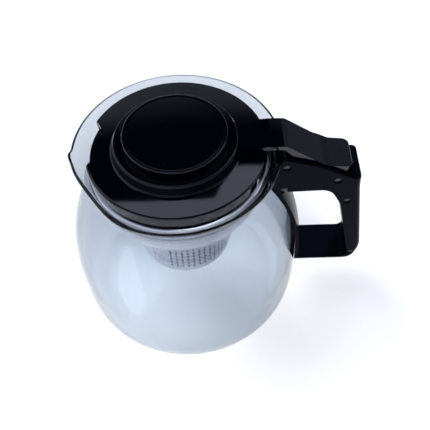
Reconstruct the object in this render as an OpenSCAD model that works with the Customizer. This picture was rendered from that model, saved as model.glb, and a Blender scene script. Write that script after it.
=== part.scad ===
// Glass teapot with a steel infuser, a lift-off lid with a thumb tab, and a clamped handle.
// Millimetres. +Z up, origin at the centre of the flat base, handle towards +X, spout towards -X.

/* [Glass body] */
// Outer diameter of the mouth at the rim
mouth_d = 120; // [114:1:126]
// Height of the rim above the table
rim_h = 131; // [128:1:136]
// Largest outer diameter of the belly
belly_d = 142.6; // [140:0.2:144]
// Wall thickness of the blown glass
glass_t = 2.3; // [1.8:0.1:2.6]

/* [Lid] */
// Diameter of the lid
lid_d = 102.6; // [98:0.2:104]
// Diameter of the knob
knob_d = 58.8; // [50:0.2:62]
// Width of the arm that reaches over the rim to the handle
arm_w = 21.6; // [18:0.2:21.8]

/* [Infuser] */
// Outer diameter of the perforated cylinder
sieve_d = 56; // [40:1:58]
// Height of the infuser's bottom above the table
infuser_bottom = 46; // [40:1:60]
// Thickness of the pressed steel
steel_t = 0.5; // [0.4:0.1:0.8]

/* [Handle] */
// Width of the handle across both shells
handle_w = 26.4; // [26:0.2:30]
// Wall thickness of the handle shells
shell_t = 2; // [1.6:0.1:2.2]

/* [Hidden] */

mouth_r = mouth_d / 2;
belly_r = belly_d / 2;
half_w = handle_w / 2;
gap = 0.3;

// Glass outline: flat base, belly, shoulder and flared mouth
base_r = 52;
base_t = 3;
belly_z = 44;
belly_power = 4;
shoulder_z = rim_h - 25;
shoulder_power = 2.1;
waist_r = 51;
waist_z = rim_h - 20;
shoulder_r = waist_r
    + (belly_r - waist_r) * (1 - pow((shoulder_z - belly_z) / (waist_z - belly_z), shoulder_power));

function belly_curve(steps) = [for (i = [0:steps])
    let (up = 1 - cos(90 * i / steps))
    [base_r + (belly_r - base_r) * pow(1 - pow(1 - up, belly_power), 1 / belly_power), belly_z * up]];
function shoulder_curve(steps) = [for (i = [1:steps])
    let (z = belly_z + (shoulder_z - belly_z) * i / steps, u = (z - belly_z) / (waist_z - belly_z))
    [waist_r + (belly_r - waist_r) * (1 - pow(u, shoulder_power)), z]];
function bezier(p, t) = pow(1 - t, 3) * p[0] + 3 * pow(1 - t, 2) * t * p[1]
    + 3 * (1 - t) * t * t * p[2] + pow(t, 3) * p[3];
mouth_controls = [[shoulder_r, shoulder_z], [shoulder_r - 5.2, rim_h - 16],
                  [mouth_r - 5.5, rim_h - 9], [mouth_r, rim_h - glass_t / 2]];
function mouth_curve(steps) = [for (i = [1:steps]) bezier(mouth_controls, i / steps)];
outer_curve = concat(belly_curve(9), shoulder_curve(6), mouth_curve(5));

// The same outline moved outwards by a distance, along its normals
function unit(v) = v / norm(v);
function curve_normal(c, i) =
    let (d = unit(c[min(i + 1, len(c) - 1)] - c[max(i - 1, 0)])) [d[1], -d[0]];
function moved(c, distance) = [for (i = [0:len(c) - 1])
    i == 0 ? c[0] + [distance, 0] : c[i] + distance * curve_normal(c, i)];
function above(c, z) = [for (p = c) if (p[1] > z) p];
function reversed(c) = [for (i = [len(c) - 1:-1:0]) c[i]];
inner_curve = concat([[base_r - 1, base_t]], above(moved(outer_curve, -glass_t), base_t + 1));

// Pouring lip, pulled out of the rim opposite the handle
lip_reach = 1.2;
lip_rise = 2;
lip_span = 12;
lip_root = 12;

// Glass stud that the handle clamps, and the soft sleeve round it
stud_z = rim_h - 19;
stud_r = 4;
stud_end = 59.5;
sleeve_r = 5;
sleeve_end = 60.3;

// Lid, with heights measured from the rim
lid_r = lid_d / 2;
lid_edge_z = rim_h + 1;
lid_skirt_z = rim_h - 4.6;
lid_top_z = rim_h + 8.2;
lid_step_r = 34.4;
lid_flat_r = 38.5;
lid_flat_z = rim_h + 2.2;
lid_t = 2;
notch_r = 25.8;
notch_x = -67.8;
notch_turn = -6;
plate_r = lid_r - lid_t - 0.1;
plate_t = 2;
locating_r = 46;
knob_r = knob_d / 2;
knob_base_r = knob_r - 3;
knob_top_z = rim_h + 13;
knob_stem_r = 8;
lid_screw_r = 28;
lid_screw_angles = [60, 180, 300];
lid_boss_r = 3;
lid_boss_h = 7.9;

// The cove from the lid's raised middle down to its flat border
lid_cove_controls = [[lid_step_r + 0.9, lid_top_z - 0.9], [lid_step_r + 1.4, lid_flat_z + 1.8],
                     [lid_flat_r - 2.2, lid_flat_z + 0.1], [lid_flat_r, lid_flat_z]];
lid_cove = [for (t = [0:0.25:1]) bezier(lid_cove_controls, t)];

// Arm and thumb tab, as the heights of the upper face
arm_t = 2.6;
arm_half = arm_w / 2;
arm_top = [[30, 7.4], [52, 8.8], [60, 8.5], [64, 7], [76, -3.2], [84, -8.6], [91, -10.2], [99.4, -11]];
tab_end = 99.4;
pip_x = 95.6;
pip_pitch = 3.05;
tab_low = -21;
skirt_from = 66;
skirt_t = 1.8;

// Infuser
flange_r = 50.8;
bead_r = 1.5;
flange_z = rim_h - 11.5;
funnel_top_r = 48;
funnel_low_z = rim_h - 57;
funnel_power = 2.2;
collar_h = 4;
sieve_r = sieve_d / 2;
collar_r = sieve_r + 0.05;
sieve_top_z = funnel_low_z - 0.4;

// Handle, as outlines in the X-Z plane with Z measured from the rim
strap_t = 2.2;
strap_low = -100.8;
strap_high = -22;
screw_places = [[61.4, -7.1], [60.9, -27], [91.3, -20.3], [98.7, -39.8], [107.6, -96]];
screw_head_r = 2.1;
screw_shank_r = 1.25;
screw_clear_r = 1.5;
screw_len = 17;
recess_depth = 2.6;
boss_r = 2.6;

// A corner list of [x, z, radius] made into an outline with round corners
function corner_arc(a, b, c, r, steps = 6) =
    let (u = unit([a[0] - b[0], a[1] - b[1]]), v = unit([c[0] - b[0], c[1] - b[1]]),
         half_angle = acos(max(-1, min(1, u * v))) / 2, reach = r / tan(half_angle),
         middle = [b[0], b[1]] + unit(u + v) * r / sin(half_angle),
         from_p = [b[0], b[1]] + u * reach, to_p = [b[0], b[1]] + v * reach,
         a0 = atan2(from_p[1] - middle[1], from_p[0] - middle[0]),
         a1 = atan2(to_p[1] - middle[1], to_p[0] - middle[0]),
         turn = a1 - a0 > 180 ? a1 - a0 - 360 : a1 - a0 < -180 ? a1 - a0 + 360 : a1 - a0)
    [for (i = [0:steps]) middle + r * [cos(a0 + turn * i / steps), sin(a0 + turn * i / steps)]];
function rounded(pts) = [for (i = [0:len(pts) - 1])
    let (n = len(pts), p = pts[i])
    each p[2] == 0 ? [[p[0], p[1]]]
        : corner_arc(pts[(i + n - 1) % n], p, pts[(i + 1) % n], p[2])];

shell_outline = rounded([[48, -0.4, 0], [60, -0.4, 3], [79.9, -7.4, 20], [100.6, -19.4, 0],
    [105, -19.2, 0], [105.3, -28, 60], [112.9, -90, 25],
    [108.6, -103.8, 8], [70, -102.6, 3], [60, -96, 0], [48, -30, 0]]);
finger_hole = rounded([[50, -40, 0], [62, -28.2, 5], [88, -28.2, 9], [94.8, -42, 9],
    [105.9, -100.4, 4], [66, -99.2, 0]]);
channel = rounded([[40, 20, 0], [40, -13.2, 0], [63.5, -13.2, 0], [63.5, -25.8, 0], [83, -25.8, 3],
    [97, -34, 0], [100.6, -33, 0], [100.6, 20, 0]]);
grip_hollow = rounded([[97.6, -44, 2], [104.2, -44, 2], [109.6, -88, 1.2], [105.9, -88, 1.2]]);

module revolve(points) {
    rotate_extrude($fn = 96) polygon(points);
}

// An X-Z outline given thickness along Y, from y_low to y_high
module slab(points, y_low, y_high, z_zero = rim_h) {
    translate([0, y_high, z_zero]) rotate([90, 0, 0]) linear_extrude(y_high - y_low) polygon(points);
}

module cross_bore(place, r, y_low, y_high) {
    translate([place[0], y_high, rim_h + place[1]]) rotate([90, 0, 0])
        cylinder(r = r, h = y_high - y_low, $fn = 32);
}

module lip_hull(inset, extra) {
    hull() {
        for (a = [-lip_span, lip_span])
            rotate(180 + a) translate([mouth_r - 3.4 - inset, 0, rim_h - 2.5])
                cylinder(r = 1.2, h = 2 + extra, $fn = 16);
        rotate(180) translate([mouth_r - 7 - inset, 0, rim_h - lip_root + inset])
            cylinder(r = 1.5, h = 1, $fn = 16);
        rotate(180) translate([mouth_r + lip_reach - 1.2 - inset, 0, rim_h + lip_rise - 1.2 + inset * 0.3])
            cylinder(r = 1.2, h = 1.2 + extra, $fn = 16);
    }
}

module glass_body() color([0.80, 0.86, 0.90, 0.35]) {
    difference() {
        revolve(concat([[0, 0]], outer_curve, [[mouth_r - glass_t / 2, rim_h],
            [mouth_r - glass_t, rim_h - glass_t / 2]], reversed(inner_curve), [[0, base_t]]));
        lip_hull(glass_t, 8);
    }
    difference() {
        lip_hull(0, 0);
        lip_hull(glass_t, 8);
    }
    translate([waist_r - 1, 0, stud_z]) rotate([0, 90, 0])
        cylinder(r = stud_r, h = stud_end - waist_r + 1, $fn = 48);
}

// Everything that the glass fills, grown by a clearance
module glass_clearance(clearance) {
    revolve(concat([[0, -1], [base_r, -1]], moved(outer_curve, clearance),
        [[mouth_r + clearance, rim_h + 1], [0, rim_h + 1]]));
}

function funnel_curve(offset_r, steps = 14) = [for (i = [0:steps])
    let (v = i / steps)
    [collar_r + offset_r + (funnel_top_r - collar_r) * (1 - pow(v, funnel_power)),
     flange_z - (flange_z - funnel_low_z) * v]];

module infuser_funnel() color([0.75, 0.75, 0.78]) {
    bead = [for (a = [-90:30:180]) [flange_r - bead_r, flange_z + bead_r] + bead_r * [cos(a), sin(a)]];
    revolve(concat(bead, [[flange_r - 2 * bead_r, flange_z + steel_t], [funnel_top_r - 1, flange_z + steel_t]],
        funnel_curve(0), [[collar_r, funnel_low_z - collar_h]],
        [[collar_r + steel_t, funnel_low_z - collar_h]], reversed(funnel_curve(steel_t))));
}

module infuser_sieve() color([0.78, 0.78, 0.80])
    difference() {
        translate([0, 0, infuser_bottom]) cylinder(r = sieve_r, h = sieve_top_z - infuser_bottom, $fn = 96);
        translate([0, 0, infuser_bottom - 1]) cylinder(r = sieve_r - steel_t, h = sieve_top_z, $fn = 96);
    }

module infuser_base() color([0.78, 0.78, 0.80]) {
    base_cup_r = sieve_r - steel_t - 0.05;
    revolve([[0, infuser_bottom], [base_cup_r, infuser_bottom], [base_cup_r, infuser_bottom + 4],
        [base_cup_r - steel_t, infuser_bottom + 4], [base_cup_r - steel_t, infuser_bottom + steel_t],
        [0, infuser_bottom + steel_t]]);
}

module notch() {
    rotate(notch_turn) translate([notch_x, 0, lid_skirt_z - 1]) cylinder(r = notch_r, h = 14, $fn = 64);
}

module arm_body() {
    under = [for (p = reversed(arm_top)) [p[0], p[1] - arm_t]];
    slab(concat(arm_top, under), -arm_half, arm_half);
    deep = [for (p = arm_top) if (p[0] > skirt_from) [p[0], p[1] - 1]];
    for (side = [-1, 1])
        slab(concat([[skirt_from, 4]], deep,
            [[tab_end, tab_low], [tab_end - 3, tab_low + 0.4], [tab_end - 3, tab_low + 3.8],
             [90, tab_low + 4.3], [skirt_from, -1]]),
            side > 0 ? arm_half - skirt_t : -arm_half, side > 0 ? arm_half : -arm_half + skirt_t);
    slab([[tab_end - skirt_t, -12], [tab_end, -12], [tab_end, tab_low], [tab_end - skirt_t, tab_low]],
        -arm_half, arm_half);
    for (row = [-1.5:1.5])
        translate([pip_x, row * pip_pitch, rim_h - 10.9]) cylinder(r = 0.6, h = 0.7, $fn = 24);
}

module lid_top() color([0.03, 0.03, 0.04])
    difference() {
        union() {
            difference() {
                revolve(concat([[0, lid_top_z], [lid_step_r, lid_top_z]], lid_cove,
                    [[lid_r - 1.2, lid_flat_z], [lid_r - 0.35, lid_flat_z - 0.35], [lid_r, lid_edge_z],
                    [lid_r, lid_skirt_z], [lid_r - lid_t, lid_skirt_z], [lid_r - lid_t, lid_flat_z - lid_t],
                    [lid_flat_r - 1.5, lid_flat_z - lid_t], [lid_step_r - 1.4, lid_flat_z + 0.5],
                    [lid_step_r - 2, lid_top_z - 1.5 * lid_t], [0, lid_top_z - 1.5 * lid_t]]));
                notch();
            }
            arm_body();
            for (a = lid_screw_angles) rotate(a) translate([lid_screw_r, 0, lid_skirt_z + plate_t + 0.1])
                cylinder(r = lid_boss_r, h = lid_boss_h, $fn = 32);
        }
        translate([0, 0, lid_top_z - 8]) cylinder(r = knob_stem_r + 0.1, h = 10, $fn = 48);
        for (a = lid_screw_angles) rotate(a) translate([lid_screw_r, 0, lid_skirt_z])
            cylinder(r = screw_shank_r + 0.05, h = 6, $fn = 24);
    }

module lid_underplate() color([0.03, 0.03, 0.04])
    difference() {
        union() {
            translate([0, 0, lid_skirt_z]) cylinder(r = plate_r, h = plate_t, $fn = 96);
            revolve([[locating_r - 1.6, flange_z + steel_t + gap], [locating_r, flange_z + steel_t + gap],
                [locating_r, lid_skirt_z + 1], [locating_r - 1.6, lid_skirt_z + 1]]);
            translate([0, 0, lid_skirt_z]) cylinder(r = 5, h = 6, $fn = 48);
        }
        for (a = lid_screw_angles) rotate(a) translate([lid_screw_r, 0, lid_skirt_z - 1])
            cylinder(r = screw_clear_r, h = 6, $fn = 24);
        translate([0, 0, lid_skirt_z - 1]) cylinder(r = screw_clear_r, h = 12, $fn = 24);
    }

module pan_screw(head_r, shank_r, length) {
    cylinder(r = head_r, h = 1.6, $fn = 32);
    translate([0, 0, 1.5]) cylinder(r = shank_r, h = length - 1.5, $fn = 24);
}

module lid_screws() color([0.6, 0.6, 0.62])
    for (a = lid_screw_angles) rotate(a) translate([lid_screw_r, 0, lid_skirt_z - 1.6])
        pan_screw(screw_head_r, screw_shank_r, 7);

module knob_screw() color([0.6, 0.6, 0.62])
    translate([0, 0, lid_skirt_z - 1.6]) pan_screw(screw_head_r, screw_shank_r, 14);

module lid_knob() color([0.03, 0.03, 0.04])
    difference() {
        revolve([[0, lid_skirt_z + 6.1], [knob_stem_r, lid_skirt_z + 6.1], [knob_stem_r, lid_top_z + 0.05],
            [knob_base_r, lid_top_z + 0.05], [knob_r, lid_top_z + 3.4], [knob_r, knob_top_z - 0.6],
            [knob_r - 0.6, knob_top_z], [0, knob_top_z - 0.4]]);
        translate([0, 0, lid_skirt_z]) cylinder(r = screw_shank_r + 0.05, h = 14, $fn = 24);
    }

module strap_solid(y_low, y_high) {
    band = [for (p = outer_curve) if (p[1] > rim_h + strap_low - 12 && p[1] < rim_h + strap_high + 12) p];
    intersection() {
        revolve(concat([[30, rim_h + strap_low - 12]], moved(band, gap + strap_t),
            [[30, rim_h + strap_high + 12]]));
        translate([50, y_low, rim_h + strap_low]) cube([40, y_high - y_low, strap_high - strap_low]);
    }
}

// One handle half, on the side that side points to
module handle_half(side) {
    y_in = side > 0 ? 0.05 : -half_w;
    y_out = side > 0 ? half_w : -0.05;
    y_hollow_in = side > 0 ? -1 : -half_w + shell_t;
    y_hollow_out = side > 0 ? half_w - shell_t : 1;
    difference() {
        union() {
            difference() {
                slab(shell_outline, y_in, y_out);
                slab(finger_hole, -20, 20);
                slab(channel, y_hollow_in, y_hollow_out);
                slab(grip_hollow, y_hollow_in, y_hollow_out);
            }
            strap_solid(y_in, y_out);
            for (place = screw_places)
                cross_bore(place, boss_r, side > 0 ? 0.05 : -half_w + 1, side > 0 ? half_w - 1 : -0.05);
        }
        glass_clearance(gap);
        translate([waist_r, 0, stud_z]) rotate([0, 90, 0])
            cylinder(r = sleeve_r + 0.1, h = sleeve_end + 0.2 - waist_r, $fn = 48);
        for (place = screw_places)
            if (side < 0) {
                cross_bore(place, screw_clear_r, -half_w - 1, 1);
                cross_bore(place, screw_head_r + 0.2, -half_w - 1, -half_w + recess_depth);
            } else {
                cross_bore(place, screw_shank_r + 0.05, -1, screw_len - half_w + recess_depth + 0.5);
            }
    }
}

module handle_near_shell() color([0.04, 0.05, 0.06]) handle_half(-1);

module handle_far_shell() color([0.04, 0.05, 0.06]) handle_half(1);

module handle_screws() color([0.35, 0.35, 0.37])
    for (place = screw_places)
        translate([place[0], -half_w + recess_depth - 1.6, rim_h + place[1]]) rotate([-90, 0, 0])
            pan_screw(screw_head_r, screw_shank_r, screw_len);

module lug_sleeve() color([0.2, 0.2, 0.2])
    difference() {
        translate([waist_r + 1.2, 0, stud_z]) rotate([0, 90, 0])
            cylinder(r = sleeve_r, h = sleeve_end - waist_r - 1.2, $fn = 48);
        translate([waist_r - 2, 0, stud_z]) rotate([0, 90, 0])
            cylinder(r = stud_r + 0.05, h = stud_end + 0.1 - waist_r + 2, $fn = 48);
        glass_clearance(0.1);
    }

glass_body();
infuser_funnel();
infuser_sieve();
infuser_base();
lid_top();
lid_underplate();
lid_screws();
lid_knob();
knob_screw();
handle_near_shell();
handle_far_shell();
handle_screws();
lug_sleeve();
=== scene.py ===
"""Glass teapot with a steel infuser and a lift-off lid: the visual model.

It follows the pot as it is put together: the view, the glass, the infuser, the lid and the handle.
"""

from math import atan2, cos, hypot, pi, radians, sin, tan

import bmesh
import bpy
from mathutils import Matrix, Vector


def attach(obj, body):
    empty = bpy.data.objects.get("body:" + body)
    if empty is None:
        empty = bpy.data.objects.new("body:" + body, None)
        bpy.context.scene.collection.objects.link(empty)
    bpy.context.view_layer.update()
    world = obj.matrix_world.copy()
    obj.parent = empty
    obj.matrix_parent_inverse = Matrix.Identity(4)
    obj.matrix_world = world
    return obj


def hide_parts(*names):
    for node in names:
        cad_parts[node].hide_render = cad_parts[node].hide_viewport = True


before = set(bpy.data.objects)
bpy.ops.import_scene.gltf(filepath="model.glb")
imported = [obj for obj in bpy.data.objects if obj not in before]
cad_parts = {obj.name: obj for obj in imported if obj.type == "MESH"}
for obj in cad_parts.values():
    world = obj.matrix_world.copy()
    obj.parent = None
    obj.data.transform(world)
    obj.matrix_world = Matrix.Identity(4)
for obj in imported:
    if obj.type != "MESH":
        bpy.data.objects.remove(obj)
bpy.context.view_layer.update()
mm = 0.001
scene = bpy.context.scene

# ---------------------------------------------------------------- View and light
# The pot stands on a white sweep in a softly lit studio. The camera looks down at its
# near side, with the spout to the left and the handle to the right, from half a metre away.
camera_data = bpy.data.cameras.new("camera")
camera_data.lens = 58.6
camera_data.sensor_width = 36
camera_data.clip_start = 0.01
camera = bpy.data.objects.new("camera", camera_data)
scene.collection.objects.link(camera)
camera_right = Vector((0.99885, -0.0314, -0.0357)).normalized()
camera_back = Vector((0.0102, -0.5916, 0.8062)).normalized()
camera_up = camera_back.cross(camera_right).normalized()
camera_right = camera_up.cross(camera_back)
camera_place = Vector((24.0, -263.9, 425.1)) * mm
camera.matrix_world = Matrix.Translation(camera_place) @ Matrix(
    (camera_right, camera_up, camera_back)).transposed().to_4x4()
scene.camera = camera
scene.view_settings.view_transform = "Standard"


def linear(hex_colour, alpha=1.0):
    """An sRGB hex colour as the linear numbers that a shader takes."""
    channels = [int(hex_colour[i:i + 2], 16) / 255 for i in (1, 3, 5)]
    return [c / 12.92 if c <= 0.04045 else ((c + 0.055) / 1.055) ** 2.4 for c in channels] + [alpha]


def add(tree, kind, settings=None, inputs=None):
    """Adds one node. An input is a value, or an output socket to link from."""
    node = tree.nodes.new(kind)
    for name, value in (settings or {}).items():
        setattr(node, name, value)
    for name, value in (inputs or {}).items():
        if isinstance(value, bpy.types.NodeSocket):
            tree.links.new(value, node.inputs[name])
        else:
            node.inputs[name].default_value = value
    return node


def colour_stops(node, *stops):
    """Sets a colour ramp's stops, each a position and a linear colour."""
    while len(node.color_ramp.elements) < len(stops):
        node.color_ramp.elements.new(1.0)
    for element, (position, colour) in zip(node.color_ramp.elements, stops):
        element.position = position
        element.color = colour


def material(name):
    """A new node material: its tree, its Principled shader and itself."""
    new = bpy.data.materials.new(name)
    new.use_nodes = True
    return new, new.node_tree, new.node_tree.nodes["Principled BSDF"]


# The studio: a pale cove all round that dims to one side, two soft boxes overhead, and
# a dark ceiling between them. The boxes' edges are ratios of a direction's X and Y to its Z.
side_slants, side_alongs, side_softness = (-0.314, -0.15), (0.2, 0.841), 0.004
front_alongs, front_acrosses, front_softness, front_end_softness = (0.35, 0.765), (-0.9, 0.9), 0.003, 0.05
slant_of_along, cove_top, cove_softness = -0.4, 0.708, 0.018
cove_bright, cove_dim = 0.34, 0.13
world = bpy.data.worlds.new("studio")
world.use_nodes = True
scene.world = world
sky = world.node_tree
background = sky.nodes["Background"]
direction = add(sky, "ShaderNodeTexCoord").outputs["Generated"]
split = add(sky, "ShaderNodeSeparateXYZ", inputs={"Vector": direction})
height = add(sky, "ShaderNodeMath", {"operation": "MAXIMUM"}, {0: split.outputs["Z"], 1: 0.02}).outputs[0]
across = add(sky, "ShaderNodeMath", {"operation": "DIVIDE"}, {0: split.outputs["X"], 1: height}).outputs[0]
along = add(sky, "ShaderNodeMath", {"operation": "DIVIDE"}, {0: split.outputs["Y"], 1: height}).outputs[0]


def between(value, low, high, softness):
    """1 where a value lies between two limits, with soft ends."""
    ends = [add(sky, "ShaderNodeMapRange", {"interpolation_type": "SMOOTHSTEP"},
                {"Value": value, "From Min": limit - softness * sign, "From Max": limit + softness * sign})
            for limit, sign in ((low, 1), (high, -1))]
    return add(sky, "ShaderNodeMath", {"operation": "MULTIPLY"},
               {0: ends[0].outputs["Result"], 1: ends[1].outputs["Result"]}).outputs[0]


slant = add(sky, "ShaderNodeMath", {"operation": "MULTIPLY_ADD"},
            {0: along, 1: slant_of_along, 2: across}).outputs[0]
side_box = add(sky, "ShaderNodeMath", {"operation": "MULTIPLY"},
               {0: between(slant, *side_slants, side_softness),
                1: between(along, *side_alongs, side_softness)}).outputs[0]
front_box = add(sky, "ShaderNodeMath", {"operation": "MULTIPLY"},
                {0: between(along, *front_alongs, front_softness),
                 1: between(across, *front_acrosses, front_end_softness)}).outputs[0]
boxes = add(sky, "ShaderNodeMath", {"operation": "MAXIMUM"}, {0: side_box, 1: front_box}).outputs[0]
cove_fade = add(sky, "ShaderNodeMapRange",
                inputs={"Value": split.outputs["X"], "From Min": -0.3, "From Max": 0.6,
                        "To Min": cove_bright, "To Max": cove_dim}).outputs["Result"]
cove = add(sky, "ShaderNodeMath", {"operation": "MULTIPLY"},
           {0: between(split.outputs["Z"], -2.0, cove_top, cove_softness), 1: cove_fade}).outputs[0]
lit = add(sky, "ShaderNodeMath", {"operation": "MAXIMUM"}, {0: boxes, 1: cove}).outputs[0]
sky_colour = add(sky, "ShaderNodeMix", {"data_type": "RGBA"},
                 {"Factor": lit, "A": linear("#0A0B10"), "B": linear("#D8E2FA")})
sky.links.new(sky_colour.outputs["Result"], background.inputs["Color"])
background.inputs["Strength"].default_value = 1.8

# Two big diffused lamps fill in what the boxes leave: one behind the pot to the left,
# whose soft shadow falls towards the camera, and one in front.
lamps = (("back_lamp", (-0.55, 0.5, 1.1), 0.9, 9.0),
         ("front_lamp", (0.45, -1.0, 1.0), 1.4, 25.0))
for name, place, size, watts in lamps:
    lamp_data = bpy.data.lights.new(name, "AREA")
    lamp_data.shape = "DISK"
    lamp_data.size = size
    lamp_data.energy = watts
    lamp = bpy.data.objects.new(name, lamp_data)
    aim = Vector(place).to_track_quat("Z", "Y")
    lamp.matrix_world = Matrix.Translation(place) @ aim.to_matrix().to_4x4()
    lamp.visible_glossy = False
    scene.collection.objects.link(lamp)


def link(new):
    """Puts a new object into the scene."""
    scene.collection.objects.link(new)
    return new


def finish_piece(bm, name, finish, smooth_angle=40):
    """Turns a bmesh into an object with its normals outwards and its curves smooth."""
    bmesh.ops.remove_doubles(bm, verts=bm.verts, dist=1e-7)
    bmesh.ops.recalc_face_normals(bm, faces=bm.faces)
    mesh = bpy.data.meshes.new(name)
    bm.to_mesh(mesh)
    bm.free()
    mesh.materials.append(finish)
    mesh.shade_smooth()
    mesh.set_sharp_from_angle(angle=radians(smooth_angle))
    return link(bpy.data.objects.new(name, mesh))


def spun(outline, steps=160, closed=True):
    """A bmesh of an outline of (radius, height) in millimetres, spun about the Z axis."""
    bm = bmesh.new()
    verts = [bm.verts.new((r * mm, 0, z * mm)) for r, z in outline]
    pairs = list(zip(verts, verts[1:]))
    if closed:
        pairs.append((verts[-1], verts[0]))
    edges = [bm.edges.new(pair) for pair in pairs if (pair[0].co - pair[1].co).length > 0]
    bmesh.ops.spin(bm, geom=verts + edges, cent=(0, 0, 0), axis=(0, 0, 1), angle=2 * pi,
                   steps=steps, use_merge=True)
    bmesh.ops.remove_doubles(bm, verts=bm.verts, dist=1e-6)
    flat = [face for face in bm.faces if face.calc_area() < 1e-14]
    bmesh.ops.delete(bm, geom=flat, context="FACES")
    return bm


def rounded(points, steps=6):
    """An outline with round corners, from (x, z, corner radius) in millimetres."""
    outline = []
    for i, (x, z, r) in enumerate(points):
        here = Vector((x, z))
        if not r:
            outline.append(here)
            continue
        before = (Vector(points[i - 1][:2]) - here).normalized()
        after = (Vector(points[(i + 1) % len(points)][:2]) - here).normalized()
        half = before.angle(after) / 2
        centre = here + (before + after).normalized() * r / sin(half)
        start = here + before * r / tan(half) - centre
        end = here + after * r / tan(half) - centre
        a0 = atan2(start.y, start.x)
        turn = (atan2(end.y, end.x) - a0 + pi) % (2 * pi) - pi
        outline += [centre + r * Vector((cos(a0 + turn * k / steps), sin(a0 + turn * k / steps)))
                    for k in range(steps + 1)]
    return outline


def floor_material():
    # A painted white sweep, flat and even
    paint, tree, shader = material("matt_white_sweep")
    grain = add(tree, "ShaderNodeTexNoise", inputs={"Scale": 60.0, "Detail": 2.0})
    tint = add(tree, "ShaderNodeValToRGB", inputs={"Fac": grain.outputs["Fac"]})
    colour_stops(tint, (0.3, linear("#F6F6F7")), (0.7, linear("#FAFAFA")))
    tree.links.new(tint.outputs["Color"], shader.inputs["Base Color"])
    shader.inputs["Roughness"].default_value = 0.9
    return paint


floor_size, floor_drop = 3.0, 0.0002
floor_bm = bmesh.new()
bmesh.ops.create_grid(floor_bm, x_segments=1, y_segments=1, size=floor_size)
bmesh.ops.translate(floor_bm, verts=floor_bm.verts, vec=(0, 0, -floor_drop))
floor = finish_piece(floor_bm, "floor", floor_material())

# ---------------------------------------------------------------- Glass body
# One thin borosilicate bell, blown in a mould: a flat foot, a wide belly and a flared
# mouth with a fire-polished rim, whose lip is pulled out by hand to pour.
rim_z = 131.0
mouth_r = 60.0
glass_t, thinning, thinning_depth = 2.3, 0.8, 12
base_r, base_t = 52.0, 3.0
belly_r, belly_z, belly_power = 71.3, 44.0, 4.0
waist_r, waist_z, shoulder_power = 51.0, rim_z - 20, 2.1
shoulder_z = rim_z - 25
shoulder_r = waist_r + (belly_r - waist_r) * (
    1 - ((shoulder_z - belly_z) / (waist_z - belly_z)) ** shoulder_power)


def bezier(handles, t):
    """The point at t, from 0 to 1, on the curve of four handles."""
    return (handles[0] * (1 - t) ** 3 + handles[1] * 3 * (1 - t) ** 2 * t
            + handles[2] * 3 * (1 - t) * t * t + handles[3] * t ** 3)


def glass_outline():
    """The outer outline of the glass from the edge of the flat foot up to the rim."""
    points = []
    for i in range(25):
        up = 1 - cos(pi / 2 * i / 24)
        out = (1 - (1 - up) ** belly_power) ** (1 / belly_power)
        points.append(Vector((base_r + (belly_r - base_r) * out, belly_z * up)))
    for i in range(1, 25):
        z = belly_z + (shoulder_z - belly_z) * i / 24
        u = (z - belly_z) / (waist_z - belly_z)
        points.append(Vector((waist_r + (belly_r - waist_r) * (1 - u ** shoulder_power), z)))
    handles = [Vector(p) for p in ((shoulder_r, shoulder_z), (shoulder_r - 5.2, rim_z - 16),
                                   (mouth_r - 5.5, rim_z - 9), (mouth_r, rim_z - glass_t / 2))]
    return points + [bezier(handles, i / 20) for i in range(1, 21)]


def moved(points, distance):
    """An outline moved outwards by a distance, along its normals."""
    result = []
    for i, p in enumerate(points):
        along = (points[min(i + 1, len(points) - 1)] - points[max(i - 1, 0)]).normalized()
        result.append(p + distance * Vector((along.y, -along.x)))
    return result


def glass_material():
    # Borosilicate glass, blown and fire-polished: clear, faintly blue-grey, and with slow waves in its
    # wall that bend what is behind it. Its colour goes dark where it is seen edge-on: painted shade
    # for the dark outline along its edges.
    glass, tree, shader = material("blown_borosilicate_glass")
    # Painted shade: the tint turns dark blue-grey where the surface is seen edge-on, drawing a dark outline
    edge_on_shade = add(tree, "ShaderNodeLayerWeight", inputs={"Blend": 0.5})
    tint = add(tree, "ShaderNodeValToRGB", inputs={"Fac": edge_on_shade.outputs["Facing"]})
    colour_stops(tint, (0.70, linear("#F4F7FA")), (0.95, linear("#6E7A86")))
    tree.links.new(tint.outputs["Color"], shader.inputs["Base Color"])
    shader.inputs["Transmission Weight"].default_value = 1.0
    shader.inputs["IOR"].default_value = 1.47
    shader.inputs["Roughness"].default_value = 0.0
    body = add(tree, "ShaderNodeVolumeAbsorption", inputs={"Color": (0.38, 0.45, 0.52, 1), "Density": 200.0})
    tree.links.new(body.outputs["Volume"], tree.nodes["Material Output"].inputs["Volume"])
    place = add(tree, "ShaderNodeTexCoord").outputs["Object"]
    waves = add(tree, "ShaderNodeTexNoise", inputs={"Vector": place, "Scale": 22.0, "Detail": 1.0})
    bump = add(tree, "ShaderNodeBump", inputs={"Height": waves.outputs["Fac"], "Strength": 0.05,
                                               "Distance": 0.0006})
    tree.links.new(bump.outputs["Normal"], shader.inputs["Normal"])
    return glass


outer = glass_outline()
inner = [p + thinning * Vector((max(0, p.y - rim_z + thinning_depth) / thinning_depth, 0))
         for p in moved(outer, -glass_t) if p.y > base_t + 1.2]
foot_inner = [Vector((base_r - 0.5, base_t)), Vector((base_r + 4.5, base_t + 0.35))]
rim_half = (glass_t - thinning) / 2
rim_arc = [Vector((mouth_r - rim_half + rim_half * cos(a), rim_z - rim_half + rim_half * sin(a)))
           for a in [pi * k / 8 for k in range(9)]]
profile = ([Vector((0, 0))] + outer + rim_arc + list(reversed(inner)) + list(reversed(foot_inner))
           + [Vector((0, base_t))])
body_bm = spun([tuple(p) for p in profile], steps=192, closed=False)

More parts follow.
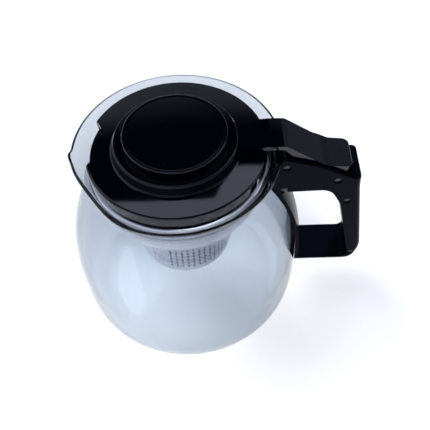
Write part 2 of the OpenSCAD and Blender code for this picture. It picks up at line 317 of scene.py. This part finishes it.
# The lip: a small sharp spout is drawn out of the mouth, which flattens one side of it
lip_depth, lip_angle = 15.0, radians(183)
lip_reach, lip_rise, tip_half_angle, wall_r = 1.0, 2.0, 0.10, 40
flat_side, flat_start, flat_span = 4.0, -0.03, 1.12
for vert in body_bm.verts:
    r = hypot(vert.co.x, vert.co.y) / mm
    height = vert.co.z / mm
    if height > rim_z - lip_depth and r > wall_r:
        angle = atan2(vert.co.y, vert.co.x) % (2 * pi) - lip_angle
        rise = ((height - rim_z + lip_depth) / lip_depth) ** 2
        tip = cos(min(1, abs(angle) / tip_half_angle) * pi / 2) ** 2
        flat = sin(min(1, max(0, angle - flat_start) / flat_span) * pi) ** 2
        scale = (r + rise * (lip_reach * tip - flat_side * flat)) / r
        vert.co.x *= scale
        vert.co.y *= scale
        vert.co.z += lip_rise * rise * tip * mm

glass_body = finish_piece(body_bm, "blown_glass_body", glass_material(), 60)
glass_body.visible_shadow = False
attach(glass_body, "pot")
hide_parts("glass_body")

# ---------------------------------------------------------------- Infuser
# A drawn stainless funnel that hangs in the neck by its flange, a rolled strip of
# perforated steel spot-welded to its collar, and a pressed bottom.
flange_r, flange_z, bead_r = 50.8, rim_z - 11.5, 1.5
funnel_top_r, funnel_low_z, funnel_power = 48.0, rim_z - 57, 2.2
steel_t = 0.5
sieve_r, collar_h, infuser_bottom = 28.0, 4.0, 46.0


def apply_modifiers(piece):
    """Bakes a piece's modifiers into its mesh."""
    bpy.context.view_layer.update()
    shape = bpy.data.meshes.new_from_object(piece.evaluated_get(bpy.context.evaluated_depsgraph_get()))
    old = piece.data
    piece.modifiers.clear()
    piece.data = shape
    bpy.data.meshes.remove(old)


def settle_normals(piece):
    """Keeps a joined piece's flat faces flat to the eye beside its rounded edges."""
    piece.data.shade_smooth()
    piece.data.set_sharp_from_angle(angle=radians(35))
    weighted = piece.modifiers.new("normals", "WEIGHTED_NORMAL")
    weighted.keep_sharp = True
    apply_modifiers(piece)


def steel_material():
    # Stainless steel 304, drawn and polished: bright and slightly soft, with fine
    # lines round the axis from the polishing wheel.
    steel, tree, shader = material("polished_drawn_stainless_steel")
    shader.inputs["Metallic"].default_value = 1.0
    place = add(tree, "ShaderNodeTexCoord").outputs["Object"]
    stretch = add(tree, "ShaderNodeMapping", inputs={"Vector": place, "Scale": (1, 1, 40)})
    lines = add(tree, "ShaderNodeTexNoise", inputs={"Vector": stretch.outputs["Vector"], "Scale": 30.0,
                                                    "Detail": 3.0})
    tone = add(tree, "ShaderNodeValToRGB", inputs={"Fac": lines.outputs["Fac"]})
    colour_stops(tone, (0.3, linear("#C4C3CC")), (0.7, linear("#D6D5DE")))
    tree.links.new(tone.outputs["Color"], shader.inputs["Base Color"])
    rough = add(tree, "ShaderNodeMapRange", inputs={"Value": lines.outputs["Fac"], "To Min": 0.16,
                                                    "To Max": 0.30})
    tree.links.new(rough.outputs["Result"], shader.inputs["Roughness"])
    bump = add(tree, "ShaderNodeBump", inputs={"Height": lines.outputs["Fac"], "Strength": 0.15,
                                               "Distance": 0.0001})
    tree.links.new(bump.outputs["Normal"], shader.inputs["Normal"])
    return steel


steel = steel_material()
collar_r, funnel_steps = sieve_r + 0.05, 28
funnel_outside = []
for k in range(funnel_steps + 1):
    down = k / funnel_steps
    funnel_outside.append(Vector((collar_r + steel_t + (funnel_top_r - collar_r) * (1 - down ** funnel_power),
                                  flange_z - (flange_z - funnel_low_z) * k / funnel_steps)))
funnel_inside = [p - Vector((steel_t, 0)) for p in funnel_outside]
bead = [Vector((flange_r - bead_r + bead_r * cos(a), flange_z + bead_r + bead_r * sin(a)))
        for a in [-pi / 2 + pi * 3 / 2 * k / 18 for k in range(19)]]
collar_low_z = funnel_low_z - collar_h
funnel_profile = (bead + [Vector((flange_r - 2 * bead_r, flange_z + steel_t))] + funnel_inside
                  + [Vector((collar_r, collar_low_z)), Vector((collar_r + steel_t, collar_low_z))]
                  + list(reversed(funnel_outside)))
funnel = finish_piece(spun([tuple(p) for p in funnel_profile]), "drawn_steel_funnel", steel)
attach(funnel, "infuser")
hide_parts("infuser_funnel")

# The strip: a grid of cells, each with a hole, rolled up until its end laps over its start
hole_r, corner_cut, same_place = 0.8, 0.58, 0.3
rows, columns, blank_at_start, blank_at_end, blank_below = 8, 50, 4, 2, 3.0
strip_start, lap, tuck, tuck_len = radians(218.5), 3.4, steel_t + 0.35, 6.0
strip_top, strip_low = funnel_low_z - 0.4, infuser_bottom
strip_bm = bmesh.new()
bmesh.ops.create_grid(strip_bm, x_segments=columns, y_segments=rows, size=0.5)
strip_w = 2 * pi * sieve_r + lap
cell_w = strip_w / columns
for vert in strip_bm.verts:
    up = (vert.co.y + 0.5) * (strip_top - strip_low)
    vert.co = Vector(((vert.co.x + 0.5) * strip_w, 0, strip_low + up))
cells = [face for face in strip_bm.faces
         if blank_at_start * cell_w < face.calc_center_median().x < strip_w - blank_at_end * cell_w
         and face.calc_center_median().z > strip_low + blank_below]
bmesh.ops.inset_individual(strip_bm, faces=cells, thickness=cell_w / 2 - hole_r, use_even_offset=True)
centres = {face: face.calc_center_median() for face in cells}
for face, centre in centres.items():
    for vert in face.verts:
        away = vert.co - centre
        vert.co = centre + Vector((hole_r * (1 if away.x > 0 else -1), 0, hole_r * (1 if away.z > 0 else -1)))
corners = list({vert for face in cells for vert in face.verts})
bmesh.ops.bevel(strip_bm, geom=corners, affect="VERTICES", offset=hole_r * corner_cut, segments=1,
                profile=0.5, material=-1)
holes = [face for face in strip_bm.faces
         if any((face.calc_center_median() - centre).length < same_place for centre in centres.values())]
bmesh.ops.delete(strip_bm, geom=holes, context="FACES")
for vert in strip_bm.verts:
    angle = strip_start + vert.co.x / sieve_r
    r = sieve_r - tuck * (1 - min(1, vert.co.x / tuck_len)) ** 2
    vert.co = Vector((r * cos(angle), r * sin(angle), vert.co.z)) * mm
bmesh.ops.remove_doubles(strip_bm, verts=strip_bm.verts, dist=1e-7)
bmesh.ops.recalc_face_normals(strip_bm, faces=strip_bm.faces)
first = strip_bm.faces[:][0]
if first.normal.xy.dot(first.calc_center_median().xy) < 0:
    bmesh.ops.reverse_faces(strip_bm, faces=strip_bm.faces)
bmesh.ops.solidify(strip_bm, geom=strip_bm.faces[:], thickness=steel_t * mm)
sieve = finish_piece(strip_bm, "perforated_steel_strip", steel, 30)
settle_normals(sieve)
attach(sieve, "infuser")
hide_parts("infuser_sieve")

# ---------------------------------------------------------------- Lid
# A moulding in glossy black ABS with a flat border, a raised middle and the arm in one
# piece, a flat plate screwed under it, and a round knob with a sharp polished edge.


def gloss_black():
    # ABS, moulded against a polished tool: deep black with a faint waviness, and a
    # few specks of dust that catch the light.
    plastic, tree, shader = material("polished_black_abs")
    place = add(tree, "ShaderNodeTexCoord").outputs["Object"]
    dust = add(tree, "ShaderNodeTexVoronoi", inputs={"Vector": place, "Scale": 160.0, "Randomness": 1.0})
    speck = add(tree, "ShaderNodeValToRGB", inputs={"Fac": dust.outputs["Distance"]})
    colour_stops(speck, (0.0, linear("#3A3A40")), (0.035, linear("#010206")))
    tree.links.new(speck.outputs["Color"], shader.inputs["Base Color"])
    shader.inputs["Roughness"].default_value = 0.03
    shader.inputs["IOR"].default_value = 1.5
    waves = add(tree, "ShaderNodeTexNoise", inputs={"Vector": place, "Scale": 45.0, "Detail": 1.0})
    bump = add(tree, "ShaderNodeBump", inputs={"Height": waves.outputs["Fac"], "Strength": 0.04,
                                               "Distance": 0.0005})
    tree.links.new(bump.outputs["Normal"], shader.inputs["Normal"])
    return plastic


black_abs = gloss_black()
lid_r, lid_t = 51.3, 2.0
lid_skirt_z, lid_top_z, lid_step_r = rim_z - 4.6, rim_z + 8.2, 34.4
lid_flat_z, lid_wall_r = rim_z + 2.2, 36.6
lid_low_z = lid_top_z - 3
lid_profile = rounded([(0, lid_top_z, 0), (lid_step_r, lid_top_z, 0.5),
                       (lid_step_r + 0.9, lid_top_z - 0.9, 0.3),
                       (lid_wall_r, lid_flat_z, 1.0), (lid_r, lid_flat_z, 1.2), (lid_r, lid_skirt_z, 0.4),
                       (lid_r - lid_t, lid_skirt_z, 0.4), (lid_r - lid_t, lid_flat_z - lid_t, 1.0),
                       (lid_wall_r, lid_flat_z - lid_t, 2), (lid_step_r - 2, lid_low_z, 0),
                       (0, lid_low_z, 0)])
lid_bm = spun([tuple(p) for p in lid_profile], closed=False)
lid = finish_piece(lid_bm, "domed_lid", black_abs)


def cut(piece, cutter, operation="DIFFERENCE"):
    """Cuts one object out of another, or joins it on, and drops the second one."""
    modifier = piece.modifiers.new("cut", "BOOLEAN")
    modifier.operation = operation
    modifier.solver = "EXACT"
    modifier.object = cutter
    apply_modifiers(piece)
    bpy.data.objects.remove(cutter)


def soften(piece, width):
    """Rounds a piece's sharp edges by a width in millimetres."""
    bevel = piece.modifiers.new("edges", "BEVEL")
    bevel.width = width * mm
    bevel.segments = 3
    bevel.limit_method = "ANGLE"
    bevel.angle_limit = radians(35)
    bevel.harden_normals = False
    apply_modifiers(piece)


def slab(outline, y_low, y_high, name, finish):
    """A flat piece with an outline in the X-Z plane, from y_low to y_high; Z is from the rim."""
    bm = bmesh.new()
    verts = [bm.verts.new((p[0] * mm, y_low * mm, (p[1] + rim_z) * mm)) for p in outline]
    face = bm.faces.new(verts)
    grown = bmesh.ops.extrude_face_region(bm, geom=[face])
    bmesh.ops.translate(bm, verts=[v for v in grown["geom"] if isinstance(v, bmesh.types.BMVert)],
                        vec=(0, (y_high - y_low) * mm, 0))
    return finish_piece(bm, name, finish)


def disc(r, z_low, z_high, x, y, steps=96):
    """A plain upright cylinder to cut with."""
    bm = bmesh.new()
    bmesh.ops.create_cone(bm, cap_ends=True, segments=steps, radius1=r * mm, radius2=r * mm,
                          depth=(z_high - z_low) * mm)
    bmesh.ops.translate(bm, verts=bm.verts, vec=(x * mm, y * mm, (z_low + z_high) / 2 * mm))
    return finish_piece(bm, "cutter", black_abs)


notch_r, notch_x, notch_turn = 25.8, 67.8, radians(174)
cut(lid, disc(notch_r, lid_skirt_z - 2, lid_top_z + 2,
              notch_x * cos(notch_turn), notch_x * sin(notch_turn)))

# The arm: a bent band as wide as the handle's channel, with a skirt down each side. Its
# outline is in X and Z, and its end has round corners seen from above.
arm_half, arm_wall, tab_end, tab_corner_r, clear = 10.8, 1.8, 99.4, 4.5, 0.01
arm_outline = rounded([(30, 7.4, 0), (52, 8.9, 20), (61, 8.6, 5), (84, -8.9, 12), (tab_end, -11, 1.2),
                       (tab_end, -21, 0.5), (96.4, -20.6, 0.5), (96.4, -17.2, 1), (90, -16.7, 2),
                       (66, -1, 3), (60, 5.9, 3), (52, 6.3, 10), (30, 4.8, 0)])
arm = slab(arm_outline, -arm_half, arm_half, "arm", black_abs)
plan_half, plan_low_z, plan_height = arm_half + clear, rim_z - 30, 50
plan_outline = rounded([(20, -plan_half, 0), (tab_end, -plan_half, tab_corner_r),
                        (tab_end, plan_half, tab_corner_r), (20, plan_half, 0)], 8)
plan = bmesh.new()
plan_face = plan.faces.new([plan.verts.new((p[0] * mm, p[1] * mm, plan_low_z * mm)) for p in plan_outline])
raised = bmesh.ops.extrude_face_region(plan, geom=[plan_face])
bmesh.ops.translate(plan, verts=[v for v in raised["geom"] if isinstance(v, bmesh.types.BMVert)],
                    vec=(0, 0, plan_height * mm))
cut(arm, finish_piece(plan, "cutter", black_abs), "INTERSECT")
soften(arm, 0.7)
hollow = slab(rounded([(66, 2, 0), (84, -11.5, 6), (97.6, -13.6, 0.6), (97.6, -24, 0), (66, -24, 0)]),
              -arm_half + arm_wall, arm_half - arm_wall, "hollow", black_abs)
cut(arm, hollow)
cut(lid, arm, "UNION")

# Four pips across the tab give the thumb a hold
pip_x, pip_z, pip_pitch, pip_r = 95.6, rim_z - 10.7, 3.05, 0.6
for row in (-1.5, -0.5, 0.5, 1.5):
    pip = bmesh.new()
    bmesh.ops.create_uvsphere(pip, u_segments=20, v_segments=12, radius=pip_r * mm)
    bmesh.ops.translate(pip, verts=pip.verts, vec=(pip_x * mm, row * pip_pitch * mm, pip_z * mm))
    cut(lid, finish_piece(pip, "pip", black_abs), "UNION")
settle_normals(lid)
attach(lid, "lid")
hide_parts("lid_top")

knob_r, knob_top_z = 29.4, rim_z + 13
knob_profile = rounded([(0, lid_top_z - 0.6, 0), (knob_r - 3, lid_top_z - 0.1, 0),
                        (knob_r, lid_top_z + 3.4, 1.5), (knob_r, knob_top_z, 0.6),
                        (knob_r - 2.2, knob_top_z - 0.15, 0.6), (0, knob_top_z - 0.4, 0)])
knob = finish_piece(spun([tuple(p) for p in knob_profile], closed=False), "round_knob", black_abs)
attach(knob, "lid")
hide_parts("lid_knob")

# ---------------------------------------------------------------- Handle
# Two hollow halves moulded in black ABS and screwed together from one side. They clamp
# the glass stud under the rim, and a thin strap follows the belly down.


def satin_black():
    # ABS, moulded in a lightly stoned tool: black with a faint blue sheen
    plastic, tree, shader = material("satin_black_abs")
    place = add(tree, "ShaderNodeTexCoord").outputs["Object"]
    shader.inputs["Base Color"].default_value = linear("#04060A")
    shader.inputs["IOR"].default_value = 1.5
    shader.inputs["Specular IOR Level"].default_value = 0.04
    shader.inputs["Specular Tint"].default_value = linear("#7E9AE6")
    grain = add(tree, "ShaderNodeTexNoise", inputs={"Vector": place, "Scale": 900.0, "Detail": 2.0})
    rough = add(tree, "ShaderNodeMapRange", inputs={"Value": grain.outputs["Fac"], "To Min": 0.16,
                                                    "To Max": 0.26})
    tree.links.new(rough.outputs["Result"], shader.inputs["Roughness"])
    bump = add(tree, "ShaderNodeBump", inputs={"Height": grain.outputs["Fac"], "Strength": 0.05,
                                               "Distance": 0.0001})
    tree.links.new(bump.outputs["Normal"], shader.inputs["Normal"])
    return plastic


handle_black = satin_black()
half_w, shell_t, fit_gap, strap_t = 13.2, 2.0, 0.3, 2.2
outer_edge_r, back_x, underside_z = 3.0, 101, rim_z - 95
window_x, window_z, window_w, window_h = 71, rim_z - 61.4, 45, 78.8
shell_outline = rounded([(48, -0.4, 0), (60, -0.4, 3), (79.9, -7.4, 20), (100.6, -19.4, 0),
                         (105, -19.2, 0), (105.3, -28, 60), (112.9, -90, 25),
                         (108.6, -103.8, 8), (70, -102.6, 3), (60, -96, 0), (48, -30, 0)], 8)
finger_hole = rounded([(50, -40, 0), (62, -28.2, 5), (88, -28.2, 9), (94.8, -42, 9),
                       (105.9, -100.4, 4), (66, -99.2, 0)], 8)
channel = rounded([(40, 20, 0), (40, -13.2, 0), (63.5, -13.2, 0), (63.5, -25.8, 0), (83, -25.8, 3),
                   (97, -34, 0), (100.6, -33, 0), (100.6, 20, 0)])
screw_places = [(61.4, -7.1), (60.9, -27), (91.3, -20.3), (98.7, -39.8), (107.6, -96)]
screw_head_r, recess_depth = 2.1, 2.6


def cross_bore(place, r, y_low, y_high):
    """A cylinder across the handle to cut with."""
    bm = bmesh.new()
    bmesh.ops.create_cone(bm, cap_ends=True, segments=32, radius1=r * mm, radius2=r * mm,
                          depth=(y_high - y_low) * mm)
    bmesh.ops.rotate(bm, verts=bm.verts, cent=(0, 0, 0), matrix=Matrix.Rotation(pi / 2, 3, "X"))
    bmesh.ops.translate(bm, verts=bm.verts,
                        vec=(place[0] * mm, (y_low + y_high) / 2 * mm, (rim_z + place[1]) * mm))
    return finish_piece(bm, "cutter", handle_black)


def round_outer_edge(piece, y_face):
    """Rounds the grip's long outer edge, from the top of the back wall round to the glass."""
    bm = bmesh.new()
    bm.from_mesh(piece.data)
    edges = [e for e in bm.edges
             if all(abs(v.co.y - y_face * mm) < 1e-6 for v in e.verts)
             and (min(v.co.x for v in e.verts) > back_x * mm
                  or max(v.co.z for v in e.verts) < underside_z * mm)]
    bmesh.ops.bevel(bm, geom=edges, affect="EDGES", offset=outer_edge_r * mm, segments=6, profile=0.5,
                    material=-1)
    bm.to_mesh(piece.data)
    bm.free()


glass_and_gap = [(0, -3)] + [tuple(p) for p in [Vector((base_r, -3))] + moved(outer, fit_gap)
                             + [Vector((mouth_r + fit_gap, rim_z + 2))]] + [(0, rim_z + 2)]
band = [p for p in outer if rim_z - 101 < p.y < rim_z - 20]
strap_outline = [tuple(p) for p in moved(band, fit_gap) + list(reversed(moved(band, fit_gap + strap_t)))]
for side, name, node in ((-1, "near_handle_half", "handle_near_shell"),
                         (1, "far_handle_half", "handle_far_shell")):
    y_in, y_out = sorted((side * 0.05, side * half_w))
    half = slab(shell_outline, y_in, y_out, name, handle_black)
    round_outer_edge(half, side * half_w)
    cut(half, slab(finger_hole, -20, 20, "cutter", handle_black))
    y_a, y_b = sorted((side * -1.0, side * (half_w - shell_t)))
    cut(half, slab(channel, y_a, y_b, "cutter", handle_black))
    soften(half, 0.6)
    strap = finish_piece(spun(strap_outline, steps=256), "strap", handle_black)
    window = bmesh.new()
    bmesh.ops.create_cube(window, size=1)
    bmesh.ops.scale(window, verts=window.verts, vec=(window_w * mm, (y_out - y_in) * mm, window_h * mm))
    bmesh.ops.translate(window, verts=window.verts,
                        vec=(window_x * mm, (y_in + y_out) / 2 * mm, window_z * mm))
    cut(strap, finish_piece(window, "cutter", handle_black), "INTERSECT")
    cut(half, strap, "UNION")
    cut(half, finish_piece(spun(glass_and_gap, closed=False, steps=256), "cutter", handle_black))
    if side < 0:
        for place in screw_places:
            cut(half, cross_bore(place, screw_head_r + 0.2, -half_w - 1, -half_w + recess_depth))
    settle_normals(half)
    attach(half, "pot")
    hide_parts(node)

# ---------------------------------------------------------------- Screws, plate and sleeve
# Zinc-plated self-tapping screws, the plate under the lid, and the soft sleeve on the
# stud keep the shapes of the frame and get their own finishes.


def zinc_steel():
    # Zinc-plated steel screws: dull dark grey, cut and tumbled, so softly blurred
    zinc, tree, shader = material("zinc_plated_steel")
    place = add(tree, "ShaderNodeTexCoord").outputs["Object"]
    marks = add(tree, "ShaderNodeTexNoise", inputs={"Vector": place, "Scale": 700.0, "Detail": 3.0})
    tone = add(tree, "ShaderNodeValToRGB", inputs={"Fac": marks.outputs["Fac"]})
    colour_stops(tone, (0.3, linear("#3C3D40")), (0.7, linear("#57585C")))
    tree.links.new(tone.outputs["Color"], shader.inputs["Base Color"])
    shader.inputs["Metallic"].default_value = 1.0
    shader.inputs["Roughness"].default_value = 0.4
    return zinc


def silicone():
    # Moulded silicone rubber, dark grey and matt, with a fine grain
    rubber, tree, shader = material("moulded_silicone")
    place = add(tree, "ShaderNodeTexCoord").outputs["Object"]
    grain = add(tree, "ShaderNodeTexNoise", inputs={"Vector": place, "Scale": 1200.0})
    tone = add(tree, "ShaderNodeValToRGB", inputs={"Fac": grain.outputs["Fac"]})
    colour_stops(tone, (0.3, linear("#1C1C1E")), (0.7, linear("#242426")))
    tree.links.new(tone.outputs["Color"], shader.inputs["Base Color"])
    shader.inputs["Roughness"].default_value = 0.6
    return rubber


def refinish(node, finish):
    """Gives a node of the frame its finish."""
    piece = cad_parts[node]
    piece.data.materials.clear()
    piece.data.materials.append(finish)


zinc = zinc_steel()
for node in ("lid_screws", "knob_screw", "handle_screws"):
    refinish(node, zinc)
refinish("lid_underplate", black_abs)
refinish("infuser_base", steel)
refinish("lug_sleeve", silicone())
